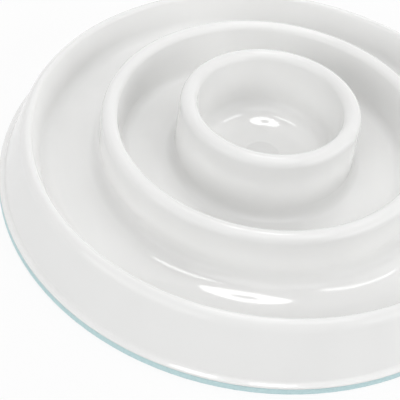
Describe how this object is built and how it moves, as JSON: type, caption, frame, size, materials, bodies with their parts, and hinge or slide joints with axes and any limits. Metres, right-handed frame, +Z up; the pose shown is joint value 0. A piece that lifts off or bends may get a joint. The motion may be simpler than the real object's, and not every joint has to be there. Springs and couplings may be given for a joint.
{
  "type": "concentric channel bowl",
  "caption": "Low round bowl with a raised centre cup and concentric ring walls that part it into channels, standing on a soft non-slip base ring.",
  "frame": {"origin": "on the bowl's axis, at the level of the surface that it stands on", "axes": "+Z up along the bowl's axis; the bowl is round, so +X and +Y are free, and -Y faces the picture's viewer"},
  "size_m": [0.2298, 0.2298, 0.0344],
  "materials": {
    "white_plastic": "glossy, smooth moulded surface, white",
    "blue_rubber": "matt soft moulded rubber, pale blue"
  },
  "bodies": {
    "root": {"bowl": "white_plastic", "base_ring": "blue_rubber"}
  },
  "joints": []
}
